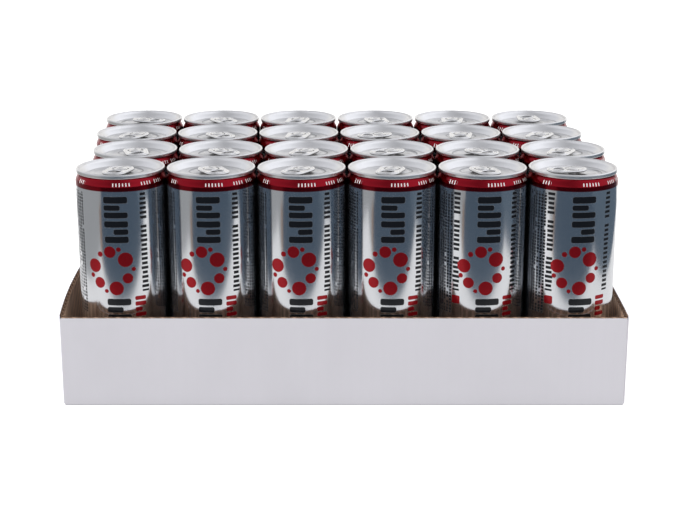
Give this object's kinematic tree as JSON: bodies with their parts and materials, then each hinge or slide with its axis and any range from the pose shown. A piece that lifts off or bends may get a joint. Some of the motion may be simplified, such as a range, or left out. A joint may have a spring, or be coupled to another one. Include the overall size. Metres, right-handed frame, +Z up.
{
  "type": "tray of canned drinks",
  "caption": "Low corrugated board tray, white outside and brown inside, filled with slim silver drink cans in close rows, each with a crimson band at its neck and a bare stay-on-tab end.",
  "frame": {"origin": "middle of the underside of the tray, on the surface it stands on", "axes": "+X to the right along the long side, +Y from the front wall to the back wall, +Z up"},
  "size_m": [0.3392, 0.2266, 0.137],
  "materials": {
    "tray_board": "matt white liner outside, bare brown kraft inside and on the cut edges",
    "can_print": "bright silver print under clear varnish, with crimson, black and grey printed shapes",
    "can_end_metal": "bare rolled aluminium, satin panel and bright seam and tab"
  },
  "bodies": {
    "root": {"tray": "tray_board", "can_1_1": "can_print", "can_1_2": "can_print", "can_1_3": "can_print", "can_1_4": "can_print", "can_1_5": "can_print", "can_1_6": "can_print", "can_2_1": "can_print", "can_2_2": "can_print", "can_2_3": "can_print", "can_2_4": "can_print", "can_2_5": "can_print", "can_2_6": "can_print", "can_3_1": "can_print", "can_3_2": "can_print", "can_3_3": "can_print", "can_3_4": "can_print", "can_3_5": "can_print", "can_3_6": "can_print", "can_4_1": "can_print", "can_4_2": "can_print", "can_4_3": "can_print", "can_4_4": "can_print", "can_4_5": "can_print", "can_4_6": "can_print", "end_1_1": "can_end_metal", "end_1_2": "can_end_metal", "end_1_3": "can_end_metal", "end_1_4": "can_end_metal", "end_1_5": "can_end_metal", "end_1_6": "can_end_metal", "end_2_1": "can_end_metal", "end_2_2": "can_end_metal", "end_2_3": "can_end_metal", "end_2_4": "can_end_metal", "end_2_5": "can_end_metal", "end_2_6": "can_end_metal", "end_3_1": "can_end_metal", "end_3_2": "can_end_metal", "end_3_3": "can_end_metal", "end_3_4": "can_end_metal", "end_3_5": "can_end_metal", "end_3_6": "can_end_metal", "end_4_1": "can_end_metal", "end_4_2": "can_end_metal", "end_4_3": "can_end_metal", "end_4_4": "can_end_metal", "end_4_5": "can_end_metal", "end_4_6": "can_end_metal"}
  },
  "joints": []
}
